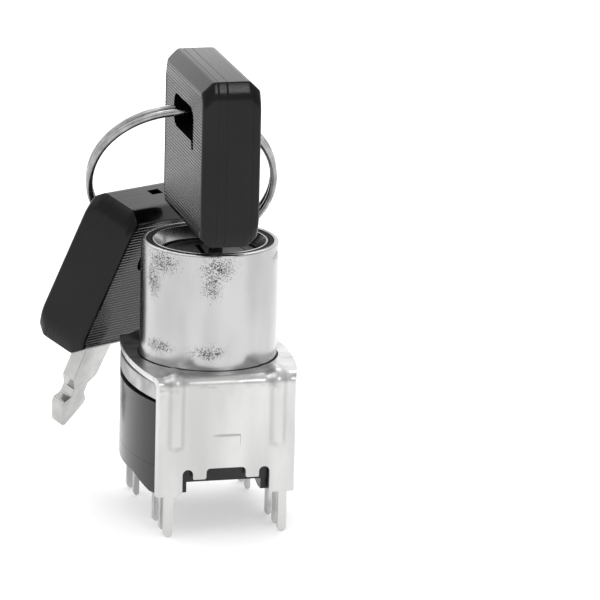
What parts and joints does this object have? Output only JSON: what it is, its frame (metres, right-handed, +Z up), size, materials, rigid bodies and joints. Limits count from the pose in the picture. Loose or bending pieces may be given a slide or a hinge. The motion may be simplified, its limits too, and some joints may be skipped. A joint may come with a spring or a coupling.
{
  "type": "selector key switch",
  "caption": "Printed-circuit keylock switch with a cylindrical lock barrel, stamped clip bracket, solder pins, inserted key, split ring and spare key.",
  "frame": {"origin": "centre of the terminal base underside, on the lock axis", "axes": "+Z up along the lock axis towards the key, -Y towards the front flange of the bracket, +X to the right"},
  "size_m": [0.0209, 0.0266, 0.0401],
  "materials": {
    "nickel_plate": "bright nickel plate on die-cast zinc",
    "seal_rubber": "black rubber",
    "brass": "machined brass",
    "black_face": "black moulded face",
    "spring_steel": "spring steel",
    "black_housing": "black glass-filled moulding",
    "natural_nylon": "natural nylon",
    "contact_copper": "copper alloy",
    "tinned_pin": "tin plate",
    "tinned_steel": "satin tin-plated steel sheet",
    "key_nickel": "nickel-plated blade",
    "bow_plastic": "black moulded key bow with ribbed faces",
    "ring_steel": "bright steel wire"
  },
  "bodies": {
    "switch_body": {"lock_barrel": "nickel_plate", "rim_seal": "seal_rubber", "switch_housing": "black_housing", "terminal_base": "black_housing", "bracket": "tinned_steel", "terminal_1": "tinned_pin", "terminal_2": "tinned_pin", "terminal_3": "tinned_pin", "terminal_4": "tinned_pin", "terminal_5": "tinned_pin", "terminal_6": "tinned_pin"},
    "plug": {"lock_plug": "brass", "plug_face": "black_face", "plug_clip": "spring_steel", "contact_rotor": "natural_nylon", "wiper_1": "contact_copper", "wiper_2": "contact_copper", "detent_spring_1": "spring_steel", "detent_spring_2": "spring_steel"},
    "ball_1": {"detent_ball_1": "spring_steel"},
    "ball_2": {"detent_ball_2": "spring_steel"},
    "key": {"key_blade": "key_nickel", "key_bow": "bow_plastic"},
    "ring": {"split_ring": "ring_steel"},
    "spare_key": {"spare_key_blade": "key_nickel", "spare_key_bow": "bow_plastic"},
    "wafer_1": {"wafer_1": "brass", "wafer_spring_1": "spring_steel"},
    "wafer_2": {"wafer_2": "brass", "wafer_spring_2": "spring_steel"},
    "wafer_3": {"wafer_3": "brass", "wafer_spring_3": "spring_steel"},
    "wafer_4": {"wafer_4": "brass", "wafer_spring_4": "spring_steel"}
  },
  "joints": [
    {"name": "plug_turn", "type": "hinge", "parent": "switch_body", "child": "plug", "pos_m": [0, 0, 0.0135], "axis": [0, 0, -1], "range_deg": [0, 90]},
    {"name": "key_pull", "type": "slide", "parent": "plug", "child": "key", "axis": [0, 0, 1], "range_m": [0, 0.0095]},
    {"name": "wafer_1_slide", "type": "slide", "parent": "plug", "child": "wafer_1", "axis": [0, 1, 0], "range_m": [0, 0.0005]},
    {"name": "wafer_2_slide", "type": "slide", "parent": "plug", "child": "wafer_2", "axis": [0, -1, 0], "range_m": [0, 0.0005]},
    {"name": "wafer_3_slide", "type": "slide", "parent": "plug", "child": "wafer_3", "axis": [0, 1, 0], "range_m": [0, 0.0005]},
    {"name": "wafer_4_slide", "type": "slide", "parent": "plug", "child": "wafer_4", "axis": [0, -1, 0], "range_m": [0, 0.0005]},
    {"name": "ball_1_press", "type": "slide", "parent": "plug", "child": "ball_1", "axis": [0, 0, -1], "range_m": [0, 0.00045], "stiffness_N_per_m": 20, "springref_m": -0.0005, "deforming": ["detent_spring_1"]},
    {"name": "ball_2_press", "type": "slide", "parent": "plug", "child": "ball_2", "axis": [0, 0, -1], "range_m": [0, 0.00045], "stiffness_N_per_m": 20, "springref_m": -0.0005, "deforming": ["detent_spring_2"]},
    {"name": "ring_swing", "type": "hinge", "parent": "key", "child": "ring", "pos_m": [0, 0.0024, 0.03065], "axis": [1, 0, 0], "range_deg": [0, 40]},
    {"name": "spare_key_swing", "type": "hinge", "parent": "ring", "child": "spare_key", "pos_m": [-0.00363, 0.01048, 0.01716], "axis": [0.9414, 0.0376, -0.3353], "range_deg": [0, 15]}
  ],
  "couplings": [
    {"joint": "wafer_1_slide", "follows": "key_pull", "ratio": 0.047368},
    {"joint": "wafer_2_slide", "follows": "key_pull", "ratio": 0.047368},
    {"joint": "wafer_3_slide", "follows": "key_pull", "ratio": 0.047368},
    {"joint": "wafer_4_slide", "follows": "key_pull", "ratio": 0.047368}
  ]
}
